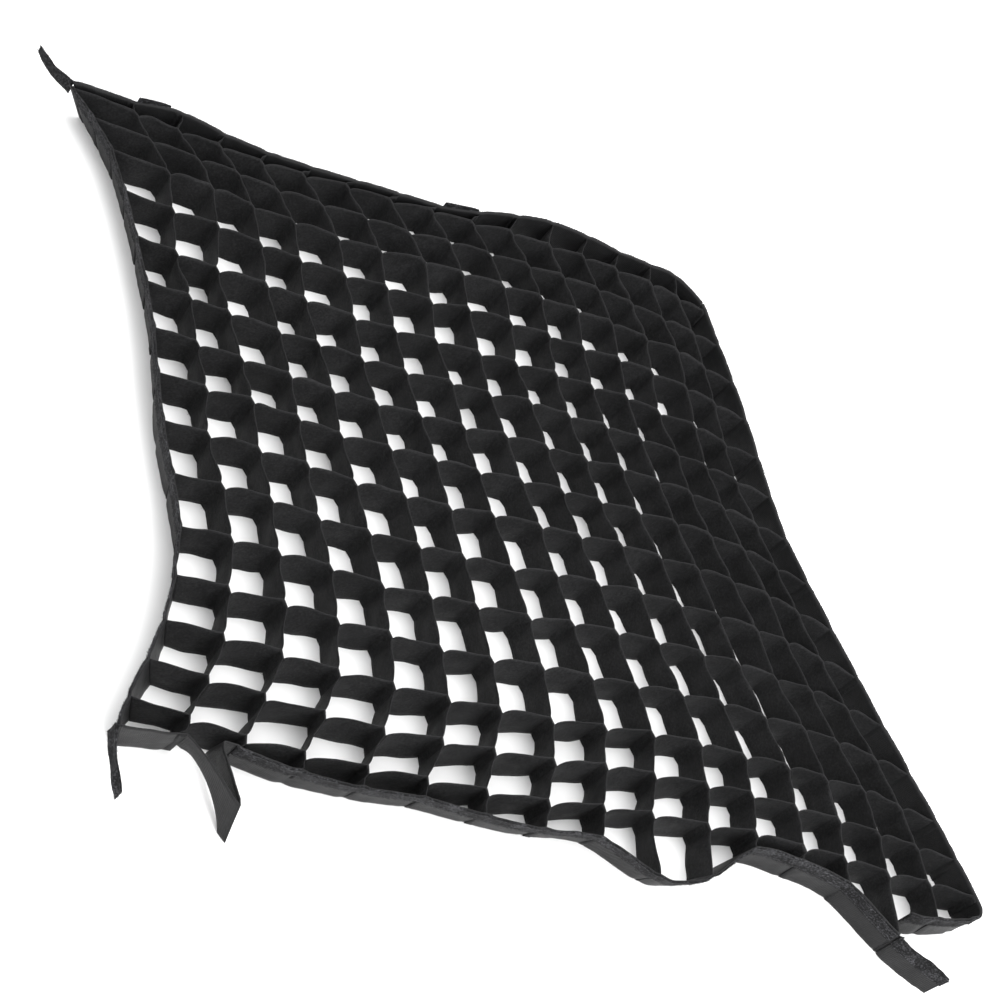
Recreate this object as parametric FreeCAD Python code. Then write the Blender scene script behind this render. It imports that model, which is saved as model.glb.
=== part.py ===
"""Fabric honeycomb grid for a square softbox, lying loose and skewed on a flat surface.

The core is thirty nylon strips. Each strip goes down in steps from the left or top band to
the bottom or right band, and is sewn face to face to the next strip at every crossing, so
that two neighbours enclose a diagonal row of square cells. Four nylon bands with pile tape
along their top edges go round the core. Millimetres, +Z up, origin at the bottom centre.
"""
import FreeCAD, Part
import math
import os

# ---- driving dimensions --------------------------------------------------------------
COLUMNS = 16                 # cells along a row
ROWS = 16                    # rows of cells, the top one a part row
CORE_HEIGHT = 40.0           # strips stand this tall
STRIP_THICKNESS = 0.6
LAND_LENGTH = 8.0            # two strips lie face to face this far at a crossing
LAND_GAP = 0.2               # between the two faces of a land
LAND_LEAN = 0.4              # a land runs down its column and to the right by this share
ARCH_RISE = 0.5              # a wall along a row leaves its crossing upward by this share
COLUMN_BULGE = 0.2           # a wall down a column leaves its crossing leftward by this share
WALL_SWING = 0.25            # how far those first directions are kept, share of the wall
WALL_FACETS = 4
SHORT_WALL = 26.0            # crossings closer than this have one flat facet between them
BAND_HEIGHT = 42.0
BAND_THICKNESS = 1.0
TAPE_WIDTH = 16.0            # pile tape on the band's outer face, flush with its top edge
TAPE_THICKNESS = 1.6
TAPE_GAP = 0.3               # between the tape and the band behind it
END_CLEARANCE = 2.2          # a strip's end stops this short of a band's middle
CORNER_CLEARANCE = 4.0       # bands stop this short of each other at a corner
TAIL_CLEARANCE = 1.5         # between a band's end and the loose tail that follows it
STEP = 14.0                  # longest flat facet along a band

# The full row lines run from the left edge to the right edge. Each edge is a curve through
# points two rows apart, where the top rim lies; the core is skewed and pinched as it lies.
LEFT_EDGE = [(-470, 335), (-426, 272), (-394, 172), (-371, 68),
             (-357, -35), (-336, -143), (-346, -240), (-371, -318)]
RIGHT_EDGE = [(275, 338), (301, 240), (319, 142), (340, 40),
              (382, -62), (427, -164), (474, -262), (506, -336)]
ROW_WAVE = 13.0              # a row dips on the left and rises on the right by this
ROW_CROWN = 3.0

# Between the edges each row line is pulled off that even net, here for every second line.
ROW_PULL = [(11, 1), (9, 6), (-3, 4), (1, 7), (2, 10), (-1, 11), (5, 4), (-10, -6)]
PULL_FADE = 2                # columns over which the pull fades out towards an edge
CORNER_PULL = 14.0           # the first crossings below the top left corner go right by this

# Where the top rims of the two long bands lie (Y) at each column line.
TOP_BAND = [342, 345, 352, 344, 340, 341, 345, 348, 352,
            364, 379, 389, 386, 380, 377, 374, 346]
BOTTOM_BAND = [-348, -344, -344, -354, -357, -355, -359, -361, -358,
               -384, -374, -336, -338, -352, -396, -370, -358]
TOP_SLIP = 10.0              # the top band has slipped this far right of its columns
BOTTOM_SLIP = 7.0            # the bottom band has slipped this far left at its left end

# The floor edge of the left band (at each row line) and of the bottom band (at each column
# line) is tucked in under the core by this much.
LEFT_TUCK = [26, 25, 20, 15, 13, 12, 12, 11, 10, 9, 9, 10, 12, 14, 15, 13, 9]
BOTTOM_TUCK = [4, 6, 6, 8, 9, 10, 10, 11, 12, 13, 12, 4, 0, 0, 0, 0, 0]
TUCK_FADE = (1.0, 0.12)      # share of the tuck at the band, and one cell in

PLEAT_TIP = (-276, -391)     # a loose pleat of the bottom band stands out to here
PLEAT_SPLAY = 12.0           # its floor edge reaches this much further
POCKET_LIP = 4.0             # extra bow of the bottom band between two columns

# Loose ends: plan points from the end of the band to the tip, with the tip's two heights.
TAILS = {
    "top_left": ([(-473, 345), (-488, 357), (-505, 374)], 33.0, 42.0),
    "bottom_left": ([(-380, -352), (-375, -368), (-363, -391)], 0.5, 17.0),
    "bottom_right": ([(405, -402), (424, -415), (452, -431)], 2.0, 41.0),
}
RETURN_FLAP_END = (418, -371)


# ---- small geometry ------------------------------------------------------------------
def add(a, b, scale=1.0):
    return (a[0] + b[0] * scale, a[1] + b[1] * scale)


def minus(a, b):
    return (a[0] - b[0], a[1] - b[1])


def unit(a):
    length = math.hypot(a[0], a[1])
    return (a[0] / length, a[1] / length)


def left_of(a):
    """The direction a quarter turn anticlockwise from a."""
    return (-a[1], a[0])


def smooth_at(points, t):
    """A smooth curve through points; t is 0 at the first and 1 at the last."""
    spans = len(points) - 1
    place = min(max(t, 0.0), 1.0) * spans
    k = min(int(place), spans - 1)
    f = place - k
    p1 = points[k]
    p2 = points[k + 1]
    p0 = points[k - 1] if k > 0 else add(p1, minus(p1, p2))
    p3 = points[k + 2] if k + 2 <= spans else add(p2, minus(p2, p1))
    out = []
    for a, b, c, d in zip(p0, p1, p2, p3):
        bend = (2 * a - 5 * b + 4 * c - d) * f * f + (3 * b - a - 3 * c + d) * f ** 3
        out.append(0.5 * (2 * b + (c - a) * f + bend))
    return tuple(out)


def bezier(a, b, c, d, t):
    s = 1.0 - t
    weights = (s ** 3, 3 * s * s * t, 3 * s * t * t, t ** 3)
    return tuple(sum(w * p[k] for w, p in zip(weights, (a, b, c, d))) for k in (0, 1))


def facet_counts(points, step):
    """How many facets of about one step each stretch between two points gets."""
    return [max(2, math.ceil(math.hypot(*minus(b, a)) / step)) for a, b in zip(points, points[1:])]


def even_path(points, counts):
    """The smooth curve through points, as facets."""
    spans = len(points) - 1
    path = []
    for k, count in enumerate(counts):
        path += [smooth_at(points, (k + j / count) / spans) for j in range(count)]
    return path + [tuple(points[-1])]


def trimmed(path, start, end):
    """The path with its two ends shortened; no point is lost."""
    path = list(path)
    for cut in (start, end):
        path[0] = add(path[0], unit(minus(path[1], path[0])), cut)
        path.reverse()
    return path


def offset(path, distance):
    """The path moved to its left, with mitred corners."""
    out = []
    for k, point in enumerate(path):
        before = unit(minus(point, path[k - 1])) if k > 0 else None
        after = unit(minus(path[k + 1], point)) if k + 1 < len(path) else None
        before = before or after
        after = after or before
        middle = unit(add(left_of(before), left_of(after)))
        spread = middle[0] * left_of(after)[0] + middle[1] * left_of(after)[1]
        out.append(add(point, middle, distance / max(spread, 0.35)))
    return out


def flat_or_split(a, b, c, d):
    """One face for a flat four-sided facet, or two for a twisted one."""
    lift = abs((b - a).cross(c - a).dot(d - a))
    if lift < 1e-6:
        return [Part.Face(Part.makePolygon([a, b, c, d, a]))]
    return [Part.Face(Part.makePolygon([a, b, c, a])), Part.Face(Part.makePolygon([a, c, d, a]))]


def ribbon(top, floor, thickness, shift=0.0):
    """Cloth standing on edge between two rims, as a solid of flat facets."""
    rims = []
    for rim in (top, floor):
        plan = [(x, y) for x, y, z in rim]
        heights = [z for x, y, z in rim]
        for side in (0.5, -0.5):
            line = offset(plan, shift + side * thickness)
            rims.append([FreeCAD.Vector(x, y, z) for (x, y), z in zip(line, heights)])
    top_left, top_right, floor_left, floor_right = rims
    loops = [top_left, top_right, floor_right, floor_left]
    faces = []
    for one, other in zip(loops, loops[1:] + loops[:1]):
        for k in range(len(top) - 1):
            faces += flat_or_split(one[k], one[k + 1], other[k + 1], other[k])
    for end in (0, -1):
        faces += flat_or_split(*[loop[end] for loop in loops])
    shell = Part.Shell(faces)
    shell.sewShape()
    solid = Part.Solid(shell)
    if solid.Volume < 0:
        solid.reverse()
    return solid


def raised(path, z):
    return [(x, y, z) for x, y in path]


def between(top, floor, share):
    """The line part of the way down from one rim to the other."""
    return [tuple(a + (b - a) * share for a, b in zip(p, q)) for p, q in zip(top, floor)]


# ---- where the walls cross -----------------------------------------------------------
def tuck(column, row):
    """How far the floor edge lies in from the top rim, at a crossing."""
    reach = len(TUCK_FADE)
    left_fade = TUCK_FADE[column] if column < reach else 0.0
    bottom_fade = TUCK_FADE[ROWS - row] if ROWS - row < reach else 0.0
    return (LEFT_TUCK[row] * left_fade, BOTTOM_TUCK[column] * bottom_fade)


def crossing(column, row, level=0.0):
    """Where a column line and a row line cross; level is 0 at the top rim, 1 at the floor."""
    last = ROWS - 1
    depth = (min(max(row, 1), last) - 1) / (last - 1)
    a = smooth_at(LEFT_EDGE, depth)
    b = smooth_at(RIGHT_EDGE, depth)
    share = column / COLUMNS
    along = share + 0.02 * math.sin(math.pi * share) - 0.01 * math.sin(2 * math.pi * share)
    x, y = add(a, minus(b, a), along)
    y += ROW_CROWN * math.sin(math.pi * along) - ROW_WAVE * math.sin(2 * math.pi * along)
    inward = min(column / PULL_FADE, (COLUMNS - column) / PULL_FADE, 1.0)
    x, y = add((x, y), smooth_at(ROW_PULL, depth), inward)
    if column > 0:
        x += CORNER_PULL * max(0.0, 1 - abs(row - 1) / 4) * max(0.0, 1 - (column - 1) / 3)
    if row == 0:
        x += TOP_SLIP * math.sin(math.pi * share)
        y = TOP_BAND[column]
    if row == ROWS:
        x -= BOTTOM_SLIP * (1 - share)
        y = BOTTOM_BAND[column]
    return add((x, y), tuck(column, row), level)


def is_edge(column, row):
    return column in (0, COLUMNS) or row in (0, ROWS)


def across_and_down(column, row):
    """The directions of the row line and of the column line at a crossing."""
    across = unit(minus(crossing(column + 1, row), crossing(column - 1, row)))
    down = unit(minus(crossing(column, row + 1), crossing(column, row - 1)))
    return across, down


def strip_crossings(number):
    """The crossings that one strip passes, from its upper left end to its lower right."""
    column, row = (0, ROWS - number) if number < ROWS else (number - ROWS + 1, 0)
    go_right = number < ROWS
    passed = [(column, row)]
    while len(passed) == 1 or not is_edge(column, row):
        column, row = (column + 1, row) if go_right else (column, row + 1)
        go_right = not go_right
        passed.append((column, row))
    return passed


def strip_path(number, level):
    """The middle line of one strip's rim, folded at each end of the lands it passes."""
    cells = strip_crossings(number)
    lands = []
    for column, row in cells:
        point = crossing(column, row, level)
        if is_edge(column, row):
            lands.append((point, point, None))
            continue
        across, down = across_and_down(column, row)
        along = unit(add(down, across, LAND_LEAN))
        side = 1.0 if column - row == number - ROWS else -1.0
        middle = add(point, left_of(along), side * (STRIP_THICKNESS + LAND_GAP) / 2)
        start = add(middle, along, -LAND_LENGTH / 2)
        leave = add(across, down, -ARCH_RISE) if side > 0 else add(down, across, -COLUMN_BULGE)
        lands.append((start, add(middle, along, LAND_LENGTH / 2), unit(leave)))
    path = [lands[0][1]]
    for k in range(len(lands) - 1):
        start, leave = lands[k][1:]
        finish, after = lands[k + 1][:2]
        gap = minus(crossing(*cells[k + 1]), crossing(*cells[k]))
        facets = WALL_FACETS if math.hypot(*gap) > SHORT_WALL else 1
        chord = minus(finish, start)
        swing = WALL_SWING * math.hypot(*chord)
        a = add(start, leave or unit(chord), swing)
        b = add(finish, unit(chord), -swing)
        path += [bezier(start, a, b, finish, (j + 1) / facets) for j in range(facets)]
        if after != finish:
            path.append(after)
    return path


# ---- the four bands ------------------------------------------------------------------
def top_route(level):
    return [crossing(column, 0, level) for column in range(COLUMNS + 1)]


def left_route(level):
    return [crossing(0, row, level) for row in range(1, ROWS + 1)]


def bottom_route(level):
    """Left to right, with a pleat in the second cell and a pocket under the tenth."""
    points = [crossing(column, ROWS, level) for column in range(15)]
    tip = add(PLEAT_TIP, (0.3, -1.0), PLEAT_SPLAY * level)
    pleat = [add(points[1], (12, -2)), add(tip, (-3, 1)), add(tip, (2, 1)), add(points[2], (-12, -2))]
    pocket = add(add(points[9], minus(points[10], points[9]), 0.5), (0, -POCKET_LIP))
    return points[:2] + pleat + points[2:10] + [pocket] + points[10:]


def right_route(level):
    """Top to bottom, then round the corner and back under the last two columns."""
    points = [crossing(COLUMNS, row, level) for row in range(ROWS) if row != 1]
    corner = crossing(COLUMNS, ROWS, level)
    turn = [add(corner, (3, 5)), add(corner, (-9, -4))]
    return points + turn + [crossing(COLUMNS - 1, ROWS, level), RETURN_FLAP_END]


# The route of each side, which side of it is outward, and the route point where the tape
# starts; the bottom band is bare up to the end of its pleat.
ROUTES = {
    "top": (top_route, 1, 0),
    "right": (right_route, 1, 0),
    "bottom": (bottom_route, -1, 6),
    "left": (left_route, -1, 0),
}


def rims(route, start_cut, end_cut, height):
    """The top and floor rims of a band whose route is known at both levels."""
    steps = facet_counts(route(0.0), STEP)
    top = trimmed(even_path(route(0.0), steps), start_cut, end_cut)
    floor = trimmed(even_path(route(1.0), steps), start_cut, end_cut)
    return raised(top, height), raised(floor, 0.0)


def add_band(solids, name, top, floor, outward, first=0):
    """A band and the pile tape on its outer face; outward is +1 on the path's left."""
    solids[name + "_band"] = ribbon(top, floor, BAND_THICKNESS)
    top = top[first:]
    floor = floor[first:]
    shift = outward * (BAND_THICKNESS + TAPE_THICKNESS + 2 * TAPE_GAP) / 2
    hem = between(top, floor, TAPE_WIDTH / BAND_HEIGHT)
    solids[name + "_pile_tape"] = ribbon(top, hem, TAPE_THICKNESS, shift)


def tail_rims(points, tip_low, tip_high):
    """A loose end starts as tall as the tape or the band that it continues."""
    steps = facet_counts(points, STEP)
    path = trimmed(even_path(points, steps), TAIL_CLEARANCE, 0.0)
    root_low = 0.0 if tip_high - tip_low > 2 * TAPE_WIDTH else BAND_HEIGHT - TAPE_WIDTH
    count = len(path) - 1
    top = []
    floor = []
    for k, (x, y) in enumerate(path):
        top.append((x, y, BAND_HEIGHT + (tip_high - BAND_HEIGHT) * (k / count) ** 2))
        floor.append((x, y, root_low + (tip_low - root_low) * (k / count) ** 2))
    return top, floor


def build():
    solids = {}
    for number in range(1, COLUMNS + ROWS - 1):
        top, floor = [trimmed(strip_path(number, level), END_CLEARANCE, END_CLEARANCE)
                      for level in (0.0, 1.0)]
        top = raised(top, CORE_HEIGHT)
        solids["wall_strip_%02d" % number] = ribbon(top, raised(floor, 0.0), STRIP_THICKNESS)
    for side, (route, outward, tape_point) in ROUTES.items():
        top, floor = rims(route, CORNER_CLEARANCE, CORNER_CLEARANCE, BAND_HEIGHT)
        first = sum(facet_counts(route(0.0), STEP)[:tape_point])
        add_band(solids, side, top, floor, outward, first)
    top, floor = tail_rims(*TAILS["bottom_right"])
    add_band(solids, "bottom_right_tail", top, floor, -1)
    for corner in ("top_left", "bottom_left"):
        top, floor = tail_rims(*TAILS[corner])
        solids[corner + "_tail_pile_tape"] = ribbon(top, floor, TAPE_THICKNESS)
    return solids


def main():
    solids = build()
    box = FreeCAD.BoundBox()
    for solid in solids.values():
        box.add(solid.BoundBox)
    centre = FreeCAD.Vector(box.Center.x, box.Center.y, 0)
    os.makedirs("parts", exist_ok=True)
    for name, solid in solids.items():
        solid.translate(-centre)
        solid.exportStep("parts/%s.step" % name)
    print("centre", round(centre.x, 2), round(centre.y, 2), "size",
          round(box.XLength, 1), round(box.YLength, 1), round(box.ZLength, 1))
    print("faulty:", [name for name, solid in solids.items() if not solid.isValid()])


main()
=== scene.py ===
import math
import random

import bmesh
import bpy
from mathutils import Matrix, Vector, noise


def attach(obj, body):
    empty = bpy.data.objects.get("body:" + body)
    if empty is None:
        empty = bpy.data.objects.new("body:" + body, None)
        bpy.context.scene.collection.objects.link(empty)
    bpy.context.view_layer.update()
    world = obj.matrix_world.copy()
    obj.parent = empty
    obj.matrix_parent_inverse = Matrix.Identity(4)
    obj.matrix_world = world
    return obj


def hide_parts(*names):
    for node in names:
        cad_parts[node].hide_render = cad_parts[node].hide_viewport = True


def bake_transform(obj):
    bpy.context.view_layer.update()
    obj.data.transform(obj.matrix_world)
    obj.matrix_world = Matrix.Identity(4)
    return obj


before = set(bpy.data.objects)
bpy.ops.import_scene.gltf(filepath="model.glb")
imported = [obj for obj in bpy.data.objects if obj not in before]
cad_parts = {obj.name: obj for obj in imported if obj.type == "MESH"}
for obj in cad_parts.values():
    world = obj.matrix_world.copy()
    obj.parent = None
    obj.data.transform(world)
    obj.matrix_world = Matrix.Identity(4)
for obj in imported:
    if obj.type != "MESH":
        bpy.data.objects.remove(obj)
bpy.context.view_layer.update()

# ---- the core: thirty strips of black nylon ------------------------------------------
# Each strip is a length of thin coated nylon, 40 mm wide, cut with a hot knife. It goes down
# in steps across the grid and is sewn face to face to the next strip at every crossing; each
# end is turned along a band and sewn down. Lengths are in millimetres until a mesh is made.
MM = 0.001
COLUMNS = 16
ROWS = 16
CORE_HEIGHT = 40.0
CLOTH_THICKNESS = 0.4
LAND_LENGTH = 8.5
LAND_GAP = 0.25
LAND_LEAN = 0.4              # a land runs down its column and to the right by this share
ARCH_RISE = 0.85             # a wall along a row leaves its crossing upward by this share
COLUMN_BULGE = 0.35          # a wall down a column leaves its crossing leftward by this share
FLOOR_EASE = 0.7             # both are this much weaker along the floor edge
WALL_SWING = 0.27            # how far those first directions are kept, share of the wall
SHORT_WALL = 26.0            # crossings closer than this have a straight wall between them
END_TAB = 7.0                # the turned end of a strip, sewn along a band
BAND_THICKNESS = 1.0
LOOSENESS = 5.0              # how far crossings stray from an even net
noise.seed_set(16)           # the strays are the same each time
WALL_SAMPLES = 12
CORE_ROWS = 9
CENTRE = Vector((3.015, -20.728))

EDGE_MARGIN = 0.3            # the cloth of a strip stops this far short of both rims
WALL_SLACK = 3.0             # how far a wall's middle may hang out of line
WALL_RIPPLE = 0.5

# The plan of the net as it lies, in millimetres from a point near its middle: the
# side lines at every second row, and how far up or down the bands lie at each column.
LEFT_EDGE = [(-470, 335), (-426, 272), (-394, 172), (-371, 68),
             (-357, -35), (-336, -143), (-346, -240), (-371, -318)]
RIGHT_EDGE = [(275, 338), (301, 240), (319, 142), (340, 40),
              (382, -62), (427, -164), (474, -262), (506, -336)]
TOP_BAND = [342, 345, 352, 344, 340, 341, 345, 348, 352,
            364, 379, 389, 386, 380, 377, 374, 346]
BOTTOM_BAND = [-348, -344, -344, -354, -357, -355, -359, -361, -358,
               -384, -374, -336, -338, -352, -396, -370, -358]
# How far the floor edge of each side is tucked in under the top rim, by row and by column.
LEFT_TUCK = [26, 25, 20, 15, 13, 12, 12, 11, 10, 9, 9, 10, 12, 14, 15, 13, 9]
BOTTOM_TUCK = [4, 6, 6, 8, 9, 10, 10, 11, 12, 13, 12, 4, 0, 0, 0, 0, 0]
TUCK_FADE = (1.0, 0.12)
# How far each second row is pulled out of an even net, and how that dies out at the sides.
ROW_PULL = [(11, 1), (9, 6), (-3, 4), (1, 7), (2, 10), (-1, 11), (5, 4), (-10, -6)]
PULL_FADE = 2
CORNER_PULL = 14.0
ROW_WAVE = 13.0
ROW_CROWN = 3.0
TOP_SLIP = 10.0
BOTTOM_SLIP = 7.0


def smooth_at(points, t):
    """A smooth curve through points; t is 0 at the first and 1 at the last."""
    spans = len(points) - 1
    place = min(max(t, 0.0), 1.0) * spans
    k = min(int(place), spans - 1)
    f = place - k
    p1 = Vector(points[k])
    p2 = Vector(points[k + 1])
    p0 = Vector(points[k - 1]) if k else 2 * p1 - p2
    p3 = Vector(points[k + 2]) if k + 2 <= spans else 2 * p2 - p1
    bend = (2 * p0 - 5 * p1 + 4 * p2 - p3) * f * f + (3 * p1 - p0 - 3 * p2 + p3) * f ** 3
    return 0.5 * (2 * p1 + (p2 - p0) * f + bend)


def is_edge(column, row):
    return column in (0, COLUMNS) or row in (0, ROWS)


def crossing(column, row, level):
    """Where a column line and a row line cross; level is 0 at the top rim, 1 at the floor."""
    last = ROWS - 1
    depth = (min(max(row, 1), last) - 1) / (last - 1)
    a = smooth_at(LEFT_EDGE, depth)
    b = smooth_at(RIGHT_EDGE, depth)
    share = column / COLUMNS
    along = share + 0.02 * math.sin(math.pi * share) - 0.01 * math.sin(2 * math.pi * share)
    point = a + (b - a) * along
    point.y += ROW_CROWN * math.sin(math.pi * along) - ROW_WAVE * math.sin(2 * math.pi * along)
    point += smooth_at(ROW_PULL, depth) * min(column / PULL_FADE,
                                              (COLUMNS - column) / PULL_FADE, 1.0)
    if column > 0:
        point.x += CORNER_PULL * max(0, 1 - abs(row - 1) / 4) * max(0, 1 - (column - 1) / 3)
    if row == 0:
        point.x += TOP_SLIP * math.sin(math.pi * share)
        point.y = TOP_BAND[column]
    if row == ROWS:
        point.x -= BOTTOM_SLIP * (1 - share)
        point.y = BOTTOM_BAND[column]
    reach = len(TUCK_FADE)
    left_fade = TUCK_FADE[column] if column < reach else 0.0
    bottom_fade = TUCK_FADE[ROWS - row] if ROWS - row < reach else 0.0
    point += Vector((LEFT_TUCK[row] * left_fade, BOTTOM_TUCK[column] * bottom_fade)) * level
    if not is_edge(column, row):
        stray = noise.noise_vector(Vector((column * 7.3, row * 5.1, 2.0 + level * 3.7)))
        point += stray.xy * LOOSENESS
    return point - CENTRE


def toward(start, finish):
    return (finish - start).normalized()


def left_of(direction):
    return Vector((-direction.y, direction.x))


def across_and_down(column, row):
    """The directions of the row line and of the column line at a crossing."""
    across = toward(crossing(column - 1, row, 0), crossing(column + 1, row, 0))
    down = toward(crossing(column, row - 1, 0), crossing(column, row + 1, 0))
    return across, down


def land_direction(column, row):
    """Along the face-to-face land of a crossing, from its upper end to its lower end."""
    across, down = across_and_down(column, row)
    return (down + across * LAND_LEAN).normalized()


def band_direction(column, row):
    """Along the band at an edge crossing: down for the side bands, right for the others."""
    if column in (0, COLUMNS):
        return toward(crossing(column, max(row - 1, 0), 0), crossing(column, min(row + 1, ROWS), 0))
    return toward(crossing(column - 1, row, 0), crossing(column + 1, row, 0))


def strip_crossings(number):
    """The crossings that one strip passes, from its upper left end to its lower right."""
    column, row = (0, ROWS - number) if number < ROWS else (number - ROWS + 1, 0)
    go_right = number < ROWS
    passed = [(column, row)]
    while len(passed) == 1 or not is_edge(column, row):
        column, row = (column + 1, row) if go_right else (column, row + 1)
        go_right = not go_right
        passed.append((column, row))
    return passed


def bezier(a, b, c, d, t):
    s = 1.0 - t
    return a * s ** 3 + b * 3 * s * s * t + c * 3 * s * t * t + d * t ** 3


def strip_rim(number, level):
    """One rim of a strip: (point, share of the wall passed, wall number) at each sample."""
    cells = strip_crossings(number)
    lands = []
    for k, (column, row) in enumerate(cells):
        point = crossing(column, row, level)
        if is_edge(column, row):
            neighbour = cells[1] if k == 0 else cells[-2]
            inward = toward(point, crossing(*neighbour, level))
            point += inward * (BAND_THICKNESS + CLOTH_THICKNESS) / 2
            tab = band_direction(column, row) * END_TAB
            ends = (point - tab, point) if k == 0 else (point, point + tab)
            lands.append((*ends, inward))
            continue
        across, down = across_and_down(column, row)
        along = land_direction(column, row)
        side = 1.0 if column - row == number - ROWS else -1.0
        middle = point + left_of(along) * side * (CLOTH_THICKNESS + LAND_GAP) / 2
        half = along * LAND_LENGTH / 2
        bow = 1 - FLOOR_EASE * level
        leave = across - down * ARCH_RISE * bow if side > 0 else down - across * COLUMN_BULGE * bow
        lands.append((middle - half, middle + half, leave.normalized()))
    rim = [(lands[0][0], 0.0, 0), (lands[0][1], 0.0, 0)]
    for wall in range(len(lands) - 1):
        start, leave = lands[wall][1:]
        finish, after = lands[wall + 1][:2]
        chord = finish - start
        gap = crossing(*cells[wall + 1], 0) - crossing(*cells[wall], 0)
        if gap.length < SHORT_WALL:
            leave = chord.normalized()
        arrive = leave if leave.y < -0.8 else chord.normalized()
        a = start + leave * chord.length * WALL_SWING
        b = finish - arrive * chord.length * WALL_SWING
        for k in range(1, WALL_SAMPLES + 1):
            t = k / WALL_SAMPLES
            rim.append((bezier(start, a, b, finish, t), t, wall))
        rim.append(((finish + after) / 2, 0.0, wall))
        rim.append((after, 0.0, wall))
    return rim


def cloth(name, top, floor, rows, thickness, ease):
    """A sheet of cloth standing between two rims of (x, y, z) points in millimetres.

    ease(k, h) is how far the cloth stands to its left at rim point k and height share h,
    0 at the top rim, and how far it is lifted. The UV map is in metres along and down it.
    """
    count = len(top) - 1
    run = [0.0]
    for k in range(count):
        run.append(run[-1] + (top[k + 1] - top[k]).length)
    bm = bmesh.new()
    uv = bm.loops.layers.uv.new("cloth")
    bmesh.ops.create_grid(bm, x_segments=count, y_segments=rows, size=0.5)
    for vert in bm.verts:
        k = round((vert.co.x + 0.5) * count)
        h = 0.5 - vert.co.y
        for loop in vert.link_loops:
            loop[uv].uv = (run[k] * MM, h * (top[k] - floor[k]).length * MM)
        ahead = (top[min(k + 1, count)] - top[max(k - 1, 0)]).xy.normalized()
        side, lift = ease(k, h)
        point = top[k].lerp(floor[k], h)
        point.xy += left_of(ahead) * side
        point.z = max(point.z + lift, thickness)
        vert.co = point * MM
    for face in bm.faces:
        face.smooth = True
    piece = finished(name, bm)
    shell = piece.modifiers.new("thickness", "SOLIDIFY")
    shell.thickness = thickness * MM
    shell.offset = 0.0
    piece["cloth_length"] = run[-1] * MM
    return piece


def finished(name, bm):
    mesh = bpy.data.meshes.new(name)
    bm.to_mesh(mesh)
    bm.free()
    piece = bpy.data.objects.new(name, mesh)
    bpy.context.scene.collection.objects.link(piece)
    return piece


def linear(code):
    """A hex colour as Blender's linear values."""
    parts = [int(code[k:k + 2], 16) / 255 for k in (1, 3, 5)]
    return [v / 12.92 if v <= 0.04045 else ((v + 0.055) / 1.055) ** 2.4 for v in parts] + [1.0]


def node(tree, kind, links=None, **settings):
    """Adds a node; links names its inputs and the sockets or values that feed them."""
    made = tree.nodes.new("ShaderNode" + kind)
    for key, value in settings.items():
        setattr(made, key, value)
    for key, value in (links or {}).items():
        if isinstance(value, bpy.types.NodeSocket):
            tree.links.new(value, made.inputs[key])
        else:
            made.inputs[key].default_value = value
    return made


def ramp(tree, factor, stops):
    """A colour ramp from (position, hex colour) stops."""
    made = node(tree, "ValToRGB", {"Fac": factor})
    marks = made.color_ramp.elements
    while len(marks) < len(stops):
        marks.new(0.5)
    for mark, (position, code) in zip(marks, stops):
        mark.position = position
        mark.color = linear(code)
    return made.outputs["Color"]


def blank_material(name):
    material = bpy.data.materials.new(name)
    material.use_nodes = True
    material.node_tree.nodes.clear()
    return material, material.node_tree


def surface(tree, colour, normal, **values):
    shader = node(tree, "BsdfPrincipled", {"Base Color": colour, "Normal": normal})
    for key, value in values.items():
        shader.inputs[key.replace("_", " ")].default_value = value
    node(tree, "OutputMaterial", {"Surface": shader.outputs["BSDF"]})
    return shader


def woven(tree, thread_mm):
    """The UV place and the thread pattern of a plain weave, threads thread_mm apart."""
    place = node(tree, "UVMap", uv_map="cloth").outputs["UV"]
    # a wave texture repeats every 2 * pi / 20 units of its scaled coordinate
    scale = math.pi / 10 / (thread_mm * MM)
    warp, weft = [node(tree, "TexWave", {"Vector": place, "Scale": scale, "Distortion": 0.6,
                                         "Detail": 1.0, "Detail Scale": 0.5},
                       bands_direction=way).outputs["Fac"] for way in "XY"]
    threads = node(tree, "Math", {0: warp, 1: weft}, operation="MULTIPLY").outputs[0]
    return place, threads


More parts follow.
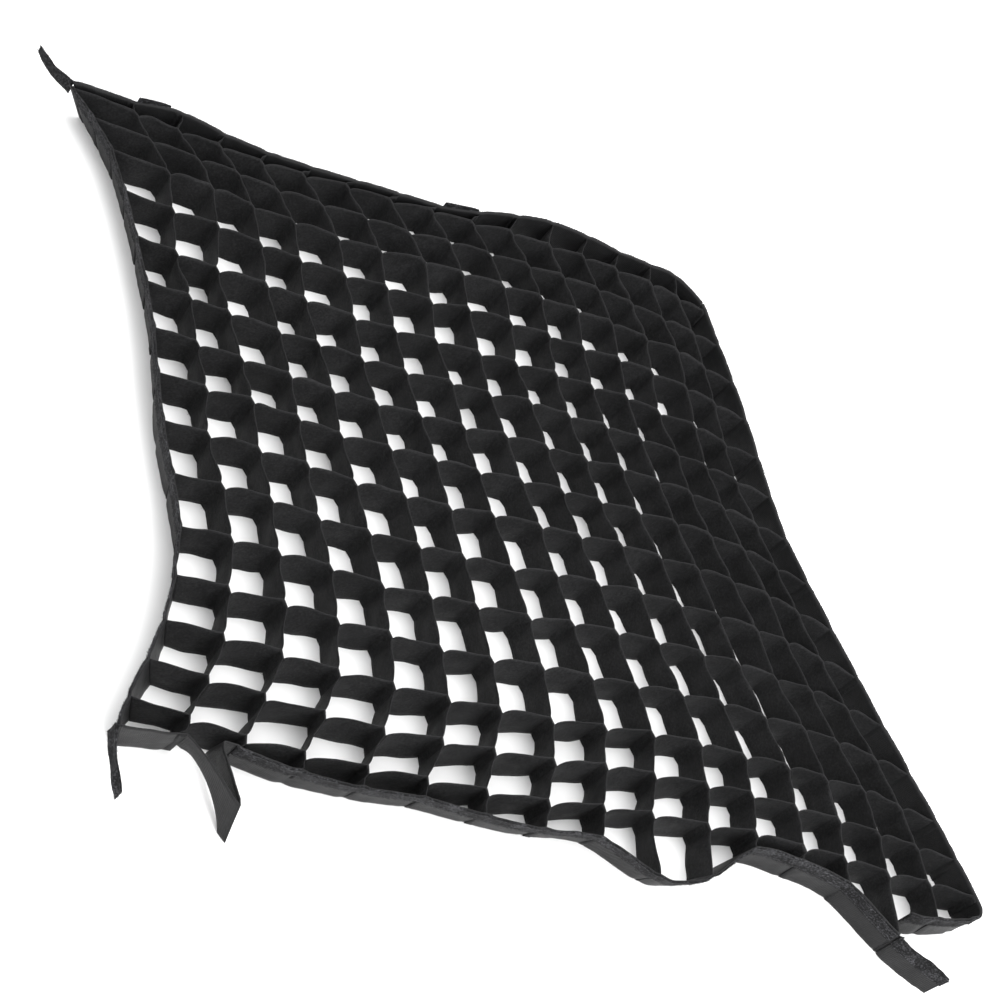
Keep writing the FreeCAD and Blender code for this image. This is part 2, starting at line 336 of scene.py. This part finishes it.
def nylon_taffeta():
    """Coated nylon: nearly black, a faint satin sheen, and a painted highlight: a paler line along
    the top rim.
    """
    material, tree = blank_material("coated_nylon_taffeta")
    # threads are 0.25 mm apart, drawn at 0.9 mm to show
    place, threads = woven(tree, 0.9)
    solid = node(tree, "TexCoord").outputs["Object"]
    cloud = node(tree, "TexNoise", {"Vector": solid, "Scale": 22.0, "Detail": 4.0}).outputs["Fac"]
    speck = node(tree, "TexNoise", {"Vector": solid, "Scale": 480.0, "Detail": 2.0}).outputs["Fac"]
    shade = node(tree, "Math", {0: cloud, 1: 0.4}, operation="MULTIPLY").outputs[0]
    shade = node(tree, "Math", {0: speck, 1: 0.6, 2: shade}, operation="MULTIPLY_ADD").outputs[0]
    shade = node(tree, "Math", {0: threads, 1: 0.2, 2: shade},
                 operation="MULTIPLY_ADD").outputs[0]
    body = ramp(tree, shade, [(0.42, "#0d0d0e"), (0.55, "#171718"), (0.68, "#262627")])
    # painted highlight: the top 0.8 mm of the cloth, where the upward-facing rim catches the light,
    # is mixed toward a paler grey
    height = node(tree, "SeparateXYZ", {"Vector": place}).outputs["Y"]
    rim = node(tree, "MapRange", {"Value": height, "From Min": 0.0, "From Max": 0.0008,
                                  "To Min": 1.0, "To Max": 0.0}).outputs["Result"]
    colour = node(tree, "MixRGB", {"Fac": rim, "Color1": body, "Color2": linear("#1f1f20")})
    bump = node(tree, "Bump", {"Height": threads, "Distance": 0.0003, "Strength": 0.5})
    rumple = node(tree, "TexNoise", {"Vector": solid, "Scale": 60.0, "Detail": 5.0,
                                     "Roughness": 0.6}).outputs["Fac"]
    folds = node(tree, "Bump", {"Height": rumple, "Distance": 0.004, "Strength": 0.3,
                                "Normal": bump.outputs["Normal"]})
    surface(tree, colour.outputs["Color"], folds.outputs["Normal"], Roughness=0.66,
            Specular_IOR_Level=0.14, Sheen_Weight=0.02, Sheen_Roughness=0.4)
    return material


taffeta = nylon_taffeta()


def strip_ease(number, rim):
    """Each wall hangs a little slack, more at its middle and at its free rims."""
    def ease(k, h):
        share, wall = rim[k][1:]
        belly = math.sin(math.pi * share)
        seed = Vector((number * 3.7 + wall * 1.9, share * 1.4, h * 1.3))
        slack = noise.noise(seed) * WALL_SLACK * belly
        along = Vector((number + wall * 0.37, share * 4.0, h * 3.0))
        ripple = noise.noise(along) * WALL_RIPPLE * belly
        rim_dip = noise.noise(Vector((wall * 0.71, number * 0.53, share * 2.0)))
        return slack + ripple, rim_dip * belly * (1 - h) + abs(rim_dip) * 0.6 * h
    return ease


for number in range(1, COLUMNS + ROWS - 1):
    rim = strip_rim(number, 0)
    foot = strip_rim(number, 1)
    top = [p.to_3d() + Vector((0, 0, CORE_HEIGHT - EDGE_MARGIN)) for p, _, _ in rim]
    floor = [p.to_3d() + Vector((0, 0, EDGE_MARGIN)) for p, _, _ in foot]
    cad = "wall_strip_%02d" % number
    strip = cloth(cad + "_cloth", top, floor, CORE_ROWS, CLOTH_THICKNESS, strip_ease(number, rim))
    strip.data.materials.append(taffeta)
    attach(strip, "grid")
    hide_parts(cad)
    ends = ["left_band" if number < ROWS else "top_band",
            "bottom_band" if number < ROWS else "right_band"]


# ---- stitching at the crossings ------------------------------------------------------
# At every crossing the two strips are held by one upright seam of polyester thread. It is
# run through both layers on a machine, about three stitches to the centimetre, and its ends
# are cut off a few millimetres below the lower edge.
STITCH_PITCH = 3.4
STITCH_LENGTH = 2.9
THREAD_RADIUS = 0.22
SEAM_TOP = CORE_HEIGHT - 1.5
TAIL_LENGTH = (3.0, 7.0)
DROOP = 8.0                  # how far a loose thread hangs, in its own thicknesses


def polyester_thread(name, dark, pale):
    """Dull spun polyester, a little paler than the cloth, with a tight twist."""
    material, tree = blank_material(name)
    solid = node(tree, "TexCoord").outputs["Object"]
    fuzz = node(tree, "TexNoise", {"Vector": solid, "Scale": 1800.0, "Detail": 3.0})
    colour = ramp(tree, fuzz.outputs["Fac"], [(0.3, dark), (0.7, pale)])
    twist = node(tree, "Bump", {"Height": fuzz.outputs["Fac"], "Distance": 0.0001,
                                "Strength": 0.5})
    surface(tree, colour, twist.outputs["Normal"], Roughness=0.7, Specular_IOR_Level=0.2)
    return material


thread = polyester_thread("black_spun_polyester_thread", "#121213", "#222223")
grey_thread = polyester_thread("grey_spun_polyester_thread", "#2c2c2e", "#4e4e50")


def rounded_stitch():
    """One stitch, a rounded thread lying along X, a metre long before it is placed."""
    bm = bmesh.new()
    bmesh.ops.create_icosphere(bm, subdivisions=1, radius=0.5)
    return small_shape("stitch", bm)


def drooping_thread():
    """A loose end of thread that tapers and droops along X, a metre long and across."""
    bm = bmesh.new()
    bmesh.ops.create_circle(bm, cap_ends=True, segments=4, radius=1.0,
                            matrix=Matrix.Rotation(math.pi / 2, 4, "Y"))
    edges = bm.edges[:]
    for step, drop in ((0.3, -0.02), (0.3, -0.12), (0.4, -0.35)):
        grown = bmesh.ops.extrude_edge_only(bm, edges=edges)["geom"]
        ring = [g for g in grown if isinstance(g, bmesh.types.BMVert)]
        edges = [g for g in grown if isinstance(g, bmesh.types.BMEdge)
                 and all(v in ring for v in g.verts)]
        bmesh.ops.translate(bm, verts=ring, vec=(step, 0, drop * DROOP))
        centre = sum((v.co for v in ring), Vector()) / len(ring)
        bmesh.ops.scale(bm, verts=ring, vec=(0.7, 0.7, 0.7), space=Matrix.Translation(-centre))
    bmesh.ops.contextual_create(bm, geom=edges)
    bmesh.ops.recalc_face_normals(bm, faces=bm.faces[:])
    return small_shape("thread_end", bm)


def small_shape(name, bm):
    for face in bm.faces:
        face.smooth = True
    mesh = bpy.data.meshes.new(name)
    bm.to_mesh(mesh)
    bm.free()
    return mesh


def placed(middle, heading, length, radius, up="Z"):
    """The place of a small shape that lies along X; millimetres, and heading a unit vector."""
    turn = heading.to_track_quat("X", up).to_matrix().to_4x4()
    size = Matrix.Diagonal((length * MM, radius * MM, radius * MM, 1))
    return Matrix.Translation(middle * MM) @ turn @ size


def scattered(name, shape, places, material):
    """One mesh with a copy of a small shape at each place."""
    bm = bmesh.new()
    for place in places:
        one = shape.copy()
        one.transform(place)
        bm.from_mesh(one)
        bpy.data.meshes.remove(one)
    for vert in bm.verts:
        vert.co.z = max(vert.co.z, 0.1 * MM)
    piece = finished(name, bm)
    piece.data.materials.append(material)
    return piece


draw = random.Random(16)
seams = []
ends = []
for column in range(1, COLUMNS):
    for row in range(1, ROWS):
        along = land_direction(column, row)
        top = crossing(column, row, 0)
        foot = crossing(column, row, 1)
        stand = CLOTH_THICKNESS + LAND_GAP / 2 + 0.05
        for k in range(int((SEAM_TOP - 2) / STITCH_PITCH)):
            height = SEAM_TOP - (k + 0.5) * STITCH_PITCH
            spot = foot.lerp(top, height / CORE_HEIGHT)
            for side in (1, -1):
                place = (spot + left_of(along) * side * stand).to_3d()
                place.z = height
                seams.append(placed(place, Vector((0, 0, 1)), STITCH_LENGTH,
                                    2 * THREAD_RADIUS, "Y"))
        for _ in range(draw.choice((0, 1, 1, 2))):
            reach = draw.uniform(*TAIL_LENGTH)
            way = draw.uniform(0, 2 * math.pi)
            root = foot.to_3d() + Vector((0, 0, 2.5))
            heading = Vector((math.cos(way), math.sin(way), 0.5)).normalized()
            ends.append(placed(root, heading, reach, THREAD_RADIUS))
stitch = rounded_stitch()
thread_end = drooping_thread()
for name, shape, places in (("crossing_seams", stitch, seams),
                            ("seam_thread_ends", thread_end, ends)):
    sewn = scattered(name, shape, places, thread)
    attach(sewn, "grid")


# ---- the four bands ------------------------------------------------------------------
# A band of ribbed black nylon, 42 mm tall, closes each side. The strips' ends are sewn to
# it from inside, and every seam draws it in a little, so it puckers between the cells. The
# bottom band has a loose pleat in its second cell and bows into a pocket under the tenth.
BAND_HEIGHT = 42.0
BAND_ROWS = 10
BAND_STEP = 3.0
PLEAT_TIP = Vector((-276, -391))
PLEAT_SPLAY = 12.0
PLEAT_LIFT = 22.0            # the floor edge of the pleat is drawn up this far half way
POCKET_LIP = 4.0
RETURN_FLAP_END = Vector((418, -371))
CORNER_STOP = 0.6
SEAM_DENT = 1.3
SEAM_HALF_WIDTH = 5.0
PUCKER = 2.2
SEED_STEP = 3.1              # keeps the chance waves of one band unlike those of the next


def top_route(level):
    return [crossing(column, 0, level) for column in range(COLUMNS + 1)]


def left_route(level):
    return [crossing(0, row, level) for row in range(1, ROWS + 1)]


def bottom_route(level):
    points = [crossing(column, ROWS, level) for column in range(15)]
    tip = PLEAT_TIP - CENTRE + Vector((0.3, -1.0)) * PLEAT_SPLAY * level
    pleat = [points[1] + Vector((12, -2)), tip + Vector((-3, 1)),
             tip + Vector((2, 1)), points[2] + Vector((-12, -2))]
    pocket = (points[9] + points[10]) / 2 + Vector((0, -POCKET_LIP))
    return points[:2] + pleat + points[2:10] + [pocket] + points[10:]


def right_route(level):
    points = [crossing(COLUMNS, row, level) for row in range(ROWS) if row != 1]
    corner = crossing(COLUMNS, ROWS, level)
    turn = [corner + Vector((3, 5)), corner + Vector((-9, -4))]
    return points + turn + [crossing(COLUMNS - 1, ROWS, level), RETURN_FLAP_END - CENTRE]


def sampled(points, counts):
    """The smooth curve through points, with counts samples in each stretch."""
    spans = len(points) - 1
    path = []
    for k, count in enumerate(counts):
        path += [smooth_at(points, (k + j / count) / spans) for j in range(count)]
    return path + [points[-1].copy()]


def stretch_counts(points, step):
    return [max(2, math.ceil((b - a).length / step)) for a, b in zip(points, points[1:])]


def band_rims(points_top, points_floor, top_heights, floor_heights, step=BAND_STEP):
    """Both rims of a band as 3-D points, and the sample number of each route point."""
    counts = stretch_counts(points_top, step)
    knots = [sum(counts[:k]) for k in range(len(counts) + 1)]
    rims = []
    for points, heights in ((points_top, top_heights), (points_floor, floor_heights)):
        path = sampled(points, counts)
        path[0] += toward(path[0], path[1]) * CORNER_STOP
        path[-1] += toward(path[-1], path[-2]) * CORNER_STOP
        last = len(path) - 1
        low, high = heights
        rims.append([Vector((p.x, p.y, low + (high - low) * (k / last) ** 2))
                     for k, p in enumerate(path)])
    return rims[0], rims[1], knots


def pucker_ease(seed, seams, outward, shift=0.0):
    """Drawn in at each seam, slack between seams, and wavier at the free floor edge."""
    def ease(k, h):
        gap = min(abs(k - s) for s in seams) * BAND_STEP
        dent = SEAM_DENT * math.exp(-(gap / SEAM_HALF_WIDTH) ** 2)
        slack = noise.noise(Vector((seed, k * 0.045, h * 0.9))) * PUCKER * (0.4 + 0.6 * h)
        crease = noise.noise(Vector((seed + 9.0, k * 0.3, h * 2.0))) * 0.5
        rise = noise.noise(Vector((seed + 5.0, k * 0.07, 0.0)))
        return outward * (slack + crease - dent + shift), rise * (1 - h)
    return ease


def ribbed_nylon():
    """Black grosgrain: fine upright ribs with a satin sheen, dusty where it has rubbed."""
    material, tree = blank_material("ribbed_nylon_band")
    place = node(tree, "UVMap", uv_map="cloth").outputs["UV"]
    solid = node(tree, "TexCoord").outputs["Object"]
    # ribs are 1.0 mm apart, drawn at 1.8 mm to show
    ribs = node(tree, "TexWave", {"Vector": place, "Scale": math.pi / 10 / (1.8 * MM),
                                  "Distortion": 0.8, "Detail": 1.0}, bands_direction="X")
    cloud = node(tree, "TexNoise", {"Vector": solid, "Scale": 30.0, "Detail": 6.0,
                                    "Roughness": 0.65}).outputs["Fac"]
    speck = node(tree, "TexNoise", {"Vector": solid, "Scale": 800.0}).outputs["Fac"]
    shade = node(tree, "Math", {0: cloud, 1: 0.7}, operation="MULTIPLY").outputs[0]
    shade = node(tree, "Math", {0: ribs.outputs["Fac"], 1: 0.12, 2: shade},
                 operation="MULTIPLY_ADD").outputs[0]
    shade = node(tree, "Math", {0: speck, 1: 0.2, 2: shade}, operation="MULTIPLY_ADD").outputs[0]
    body = ramp(tree, shade, [(0.3, "#0e0e0f"), (0.52, "#161617"), (0.75, "#232324")])
    bump = node(tree, "Bump", {"Height": ribs.outputs["Fac"], "Distance": 0.0004,
                               "Strength": 0.5})
    rumple = node(tree, "Bump", {"Height": cloud, "Distance": 0.006, "Strength": 0.35,
                                 "Normal": bump.outputs["Normal"]})
    surface(tree, body, rumple.outputs["Normal"], Roughness=0.55, Specular_IOR_Level=0.2,
            Sheen_Weight=0.02, Sheen_Roughness=0.35)
    return material


grosgrain = ribbed_nylon()
PLEAT_KNOTS = (2, 3, 4, 5)
POCKET_KNOT = 14
TAPE_KNOT = {"bottom": 6}    # the bottom band is bare up to the end of its pleat
SIDES = {
    "top": (top_route, 1, (), "left_band"),
    "right": (right_route, 1, (14, 15), "top_band"),
    "bottom": (bottom_route, -1, PLEAT_KNOTS + (POCKET_KNOT,), "left_band"),
    "left": (left_route, -1, (), "top_band"),
}
LEVEL_TOP = (BAND_HEIGHT - 0.5, BAND_HEIGHT - 0.5)
LEVEL_FLOOR = (0.5, 0.5)
bands = {}
for seed, (side, (route, outward, unsewn, neighbour)) in enumerate(SIDES.items()):
    top, floor, knots = band_rims(route(0), route(1), LEVEL_TOP, LEVEL_FLOOR)
    seams = [s for k, s in enumerate(knots) if k not in unsewn]
    if side == "bottom":
        for lift, start, finish in ((PLEAT_LIFT, knots[1], knots[3]),
                                    (PLEAT_LIFT / 3, knots[4], knots[6])):
            for k in range(start, finish + 1):
                floor[k].z += lift * math.sin(math.pi * (k - start) / (finish - start))
    ease = pucker_ease(seed * SEED_STEP, seams, outward)
    band = cloth(side + "_band_cloth", top, floor, BAND_ROWS, BAND_THICKNESS, ease)
    band.data.materials.append(grosgrain)
    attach(band, "grid")
    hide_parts(side + "_band")
    bands[side] = (top, floor, seams, outward, seed, knots[TAPE_KNOT.get(side, 0)])


# ---- the pile tape -------------------------------------------------------------------
# Napped loop tape, 16 mm wide, is sewn along the outer face of each band, flush with its
# upper edge, for the hooks inside a softbox's rim. It is charcoal rather than black, its
# loops have been pulled to fuzz, and a line of stitches runs along each of its edges.
TAPE_WIDTH = 16.0
TAPE_THICKNESS = 1.3
TAPE_ROWS = 8
NAP = 0.35
FUZZ_PER_MM = 9.0
FUZZ_LENGTH = (0.9, 2.1)
FUZZ_RADIUS = 0.11
STITCH_ROWS = (0.12, 0.9)    # where the two rows of stitches run, share of the tape


def loop_pile():
    """Brushed nylon loops: dull, paler where the nap catches light, matted in patches."""
    material, tree = blank_material("brushed_loop_pile_tape")
    solid = node(tree, "TexCoord").outputs["Object"]
    nap = node(tree, "TexNoise", {"Vector": solid, "Scale": 520.0, "Detail": 4.0,
                                  "Roughness": 0.7}).outputs["Fac"]
    mats = node(tree, "TexNoise", {"Vector": solid, "Scale": 60.0, "Detail": 3.0}).outputs["Fac"]
    shade = node(tree, "Math", {0: nap, 1: 0.75}, operation="MULTIPLY").outputs[0]
    shade = node(tree, "Math", {0: mats, 1: 0.25, 2: shade}, operation="MULTIPLY_ADD").outputs[0]
    colour = ramp(tree, shade, [(0.4, "#0b0b0c"), (0.5, "#151516"), (0.64, "#47474a")])
    bump = node(tree, "Bump", {"Height": nap, "Distance": 0.0008, "Strength": 0.8})
    surface(tree, colour, bump.outputs["Normal"], Roughness=0.9,
            Specular_IOR_Level=0.1, Sheen_Weight=0.02, Sheen_Roughness=0.6)
    return material


pile = loop_pile()


def tape_between(top, floor, share):
    return [a.lerp(b, share) for a, b in zip(top, floor)]


def fibre():
    """One pulled fibre, a thin tapered cone along X, a metre long before it is placed."""
    bm = bmesh.new()
    bmesh.ops.create_cone(bm, cap_ends=False, segments=3, radius1=1.0, radius2=0.3, depth=1.0,
                          matrix=Matrix.Rotation(math.pi / 2, 4, "Y"))
    return small_shape("fibre", bm)


def fuzz_places(top, floor, ease, outward, amount, draw):
    """Pulled fibres on a tape's outer face, thickest along its two edges."""
    last = len(top) - 1
    places = []
    for _ in range(amount):
        k = draw.randrange(last)
        f = draw.random()
        h = draw.choice((0.0, 1.0, draw.random(), draw.random()))
        ahead = (top[k + 1] - top[k]).xy.normalized()
        out = (left_of(ahead) * outward).to_3d()
        side = ease(k, h)[0]
        high = top[k].lerp(top[k + 1], f)
        low = floor[k].lerp(floor[k + 1], f)
        root = high.lerp(low, h) + left_of(ahead).to_3d() * (side + outward * TAPE_THICKNESS * 0.4)
        lean = Vector((draw.uniform(-1, 1), draw.uniform(-1, 1), draw.uniform(-0.6, 0.9)))
        heading = (out + lean * 0.8 + Vector((0, 0, 0.9 if h == 0.0 else 0.0))).normalized()
        length = draw.uniform(*FUZZ_LENGTH)
        places.append(placed(root + heading * length * 0.4, heading, length, FUZZ_RADIUS))
    return places


def stitch_line(top, floor, ease, outward, share, stand):
    """A row of stitches along a tape or band, share of the way down it."""
    line = tape_between(top, floor, share)
    carried = 0.0
    places = []
    for k in range(len(line) - 1):
        carried += (line[k + 1] - line[k]).length
        if carried < STITCH_PITCH:
            continue
        carried -= STITCH_PITCH
        ahead = line[k + 1] - line[k]
        normal = left_of(ahead.xy.normalized()).to_3d()
        middle = line[k].lerp(line[k + 1], 0.5) + normal * (ease(k, share)[0] + outward * stand)
        places.append(placed(middle, ahead.normalized(), STITCH_LENGTH, 2 * THREAD_RADIUS))
    return places


one_fibre = fibre()


def pile_tape(name, cad, body, top, floor, ease, outward, seed):
    """A tape between two rims, with its fuzz and its two rows of stitches."""
    draw = random.Random(seed)

    def napped(k, h):
        nap = noise.noise(Vector((seed, k * 1.9, h * 9.0))) * NAP
        side, lift = ease(k, h)
        return side + outward * nap, lift

    tape = cloth(name, top, floor, TAPE_ROWS, TAPE_THICKNESS, napped)
    tape.data.materials.append(pile)
    run = tape["cloth_length"]
    amount = int(run / MM * FUZZ_PER_MM)
    fuzz = scattered(name + "_fuzz", one_fibre,
                     fuzz_places(top, floor, ease, outward, amount, draw), pile)
    rows = []
    for share in STITCH_ROWS:
        rows += stitch_line(top, floor, ease, outward, share, TAPE_THICKNESS / 2 + 0.15)
    stitches = scattered(name + "_stitches", stitch, rows, grey_thread)
    for piece in (tape, fuzz, stitches):
        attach(piece, body)
    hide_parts(cad)


for side, (top, floor, seams, outward, seed, first) in bands.items():
    share = TAPE_WIDTH / BAND_HEIGHT
    hem = tape_between(top, floor, share)
    stand = (BAND_THICKNESS + TAPE_THICKNESS) / 2 + 0.1
    on_band = pucker_ease(seed * SEED_STEP, seams, outward, stand)
    pile_tape(side + "_pile_tape_cloth", side + "_pile_tape", "grid", top[first:], hem[first:],
              lambda k, h, e=on_band, f=first: e(k + f, h * share), outward,
              seed + 40)


# Two short laps of tape, where a length was pieced, stand a little proud of the top rim.
LAP_STAND = 4.0
LAP_FIBRES = 260
for name, column, reach in (("first_tape_lap", 1, 14), ("second_tape_lap", 8, 17)):
    rim, _, seams, outward, seed, _ = bands["top"]
    stretch = slice(seams[column] + 1, seams[column] + reach)
    high = [p + Vector((0, 0, LAP_STAND * (1 - (k / reach) ** 2)))
            for k, p in enumerate(rim[stretch])]
    low = [p - Vector((0, 0, TAPE_WIDTH)) for p in high]
    stand = BAND_THICKNESS / 2 + TAPE_THICKNESS * 1.5 + 0.5
    on_tape = pucker_ease(seed * SEED_STEP, seams, outward, stand)
    lap_ease = lambda k, h, e=on_tape, f=stretch.start: e(k + f, h * 0.3)
    lap = cloth(name, high, low, TAPE_ROWS, TAPE_THICKNESS, lap_ease)
    lap.data.materials.append(pile)
    draw = random.Random(column)
    lap_fuzz = scattered(name + "_fuzz", one_fibre,
                         fuzz_places(high, low, lap_ease, outward, LAP_FIBRES, draw), pile)
    for piece in (lap, lap_fuzz):
        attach(piece, "grid")


# ---- the loose tails -----------------------------------------------------------------
# Where the grid has come away from its softbox frame three ends hang loose past the last
# seam: two ends of pile tape, and one of band and tape together. They bend at that seam,
# and their cut ends have frayed into threads.
TAILS = {
    "top_left": ([(-473, 345), (-488, 357), (-505, 374)], 34.0, 41.5),
    "bottom_left": ([(-380, -352), (-375, -368), (-363, -391)], 1.0, 16.0),
    "bottom_right": ([(405, -402), (424, -415), (452, -431)], 2.5, 40.5),
}
TAIL_STEP = 1.5
TAIL_LAP = 7.0               # a tail starts this far back along the band it is sewn to
FRAY_LENGTH = (3.0, 9.0)
FRAY_THREADS = 26
FRAY_RADIUS = 0.18
TAIL_FUZZ_PER_MM = 6
TAPE_ON_TAIL = -2.1          # the lower right tape lies this far outside its band


def tail_rims(corner, root_low):
    """Both rims of a tail, starting a little way back over the end it continues."""
    plan, tip_low, tip_high = TAILS[corner]
    points = [Vector(p) - CENTRE for p in plan]
    back = {"top_left": Vector((0.75, -0.66)), "bottom_left": Vector((-0.1, 1.0)),
            "bottom_right": Vector((-0.6, 0.8))}[corner]
    points = [points[0] + back.normalized() * TAIL_LAP] + points
    return band_rims(points, points, (BAND_HEIGHT - 0.5, tip_high), (root_low, tip_low),
                     TAIL_STEP)[:2]


def tail_ease(seed, shift):
    def ease(k, h):
        wave = noise.noise(Vector((seed, k * 0.09, h * 1.2))) * 1.6
        curl = math.sin(k * 0.11 + seed) * 1.2 * min(1.0, k / 12)
        return wave + curl + shift, noise.noise(Vector((seed, k * 0.2, 3.0))) * 0.8
    return ease


def frayed_end(name, top, floor, ease, material, seed):
    """Threads that have come out of a cut end, some of them matted together."""
    draw = random.Random(seed)
    places = []
    ahead = (top[-1] - top[-3]).normalized()
    for _ in range(FRAY_THREADS):
        h = draw.random()
        root = top[-2].lerp(floor[-2], h)
        root.xy += left_of(ahead.xy.normalized()) * (ease(len(top) - 1, h)[0])
        lean = Vector((draw.uniform(-1, 1), draw.uniform(-1, 1), draw.uniform(-0.7, 0.7)))
        reach = draw.uniform(*FRAY_LENGTH) * (0.5 + abs(h - 0.5))
        if root.z < 8:
            lean.z = abs(lean.z) + 0.5
        places.append(placed(root, (ahead + lean * 0.45).normalized(), reach, FRAY_RADIUS))
    fray = scattered(name, thread_end, places, material)
    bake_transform(fray)
    return fray


for seed, corner in enumerate(TAILS):
    wide = corner == "bottom_right"
    top, floor = tail_rims(corner, 0.5 if wide else BAND_HEIGHT - TAPE_WIDTH)
    shift = TAPE_ON_TAIL if wide else 0.0
    if wide:
        cut = cloth(corner + "_tail_band_cloth", top, floor, BAND_ROWS, BAND_THICKNESS,
                    tail_ease(seed * 2.3, 0.0))
        cut.data.materials.append(grosgrain)
        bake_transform(cut)
        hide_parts(corner + "_tail_band")
        floor = tape_between(top, floor, TAPE_WIDTH / BAND_HEIGHT)
    ease = tail_ease(seed * 2.3, shift)
    draw = random.Random(seed + 70)
    tape = cloth(corner + "_tail_tape_cloth", top, floor, TAPE_ROWS, TAPE_THICKNESS, ease)
    tape.data.materials.append(pile)
    amount = int(tape["cloth_length"] / MM * TAIL_FUZZ_PER_MM)
    places = [place for outward in (1, -1)
              for place in fuzz_places(top, floor, ease, outward, amount, draw)]
    fuzz = scattered(corner + "_tail_tape_fuzz", one_fibre, places, pile)
    for piece in (tape, fuzz):
        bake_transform(piece)
    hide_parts(corner + "_tail_pile_tape")
    fray = frayed_end(corner + "_tail_fray", top, floor, ease, thread, seed)



# ---- floor, light and camera ---------------------------------------------------------
# A plain white studio floor under an even white surround, a softbox in front and a larger
# one overhead, and a long lens looking down on the grid, turned so that its long side runs
# from the upper left to the lower right. Lengths here are in metres.
bpy.ops.mesh.primitive_plane_add(size=12)
floor_sheet = bpy.context.object
floor_sheet.name = "floor"
white, tree = blank_material("white_floor")
shade = node(tree, "BsdfPrincipled", {"Base Color": linear("#f4f4f4"), "Roughness": 0.9})
node(tree, "OutputMaterial", {"Surface": shade.outputs["BSDF"]})
floor_sheet.data.materials.append(white)

world = bpy.data.worlds.new("studio")
bpy.context.scene.world = world
world.use_nodes = True
world.node_tree.nodes["Background"].inputs["Color"].default_value = (1, 1, 1, 1)
world.node_tree.nodes["Background"].inputs["Strength"].default_value = 1.3


def softbox(name, place, size, watts):
    light = bpy.data.lights.new(name, "AREA")
    light.size = size
    light.energy = watts
    lamp = bpy.data.objects.new(name, light)
    lamp.location = place
    lamp.rotation_euler = (-Vector(place)).to_track_quat("-Z", "Y").to_euler()
    bpy.context.scene.collection.objects.link(lamp)


softbox("front_softbox", (0.5, -1.8, 1.5), 1.3, 45)
softbox("top_softbox", (0.2, 0.2, 3.0), 2.6, 90)

bpy.context.scene.view_settings.view_transform = "Standard"

AZIMUTH = math.radians(-36.5)
ELEVATION = math.radians(43.8)
ROLL = math.radians(43.2)
DISTANCE = 1.900
TARGET = Vector((-0.003, 0.0207, 0.020))
toward_viewer = Vector((math.sin(AZIMUTH) * math.cos(ELEVATION),
                        -math.cos(AZIMUTH) * math.cos(ELEVATION), math.sin(ELEVATION)))
level_right = Vector((math.cos(AZIMUTH), math.sin(AZIMUTH), 0))
level_up = toward_viewer.cross(level_right)
right = level_right * math.cos(ROLL) + level_up * math.sin(ROLL)
up = level_up * math.cos(ROLL) - level_right * math.sin(ROLL)
lens = bpy.data.cameras.new("camera")
lens.lens = 69.8
lens.sensor_width = 36
camera = bpy.data.objects.new("camera", lens)
camera.matrix_world = Matrix.Translation(TARGET + toward_viewer * DISTANCE) @ Matrix(
    (right, up, toward_viewer)).transposed().to_4x4()
bpy.context.scene.collection.objects.link(camera)
bpy.context.scene.camera = camera
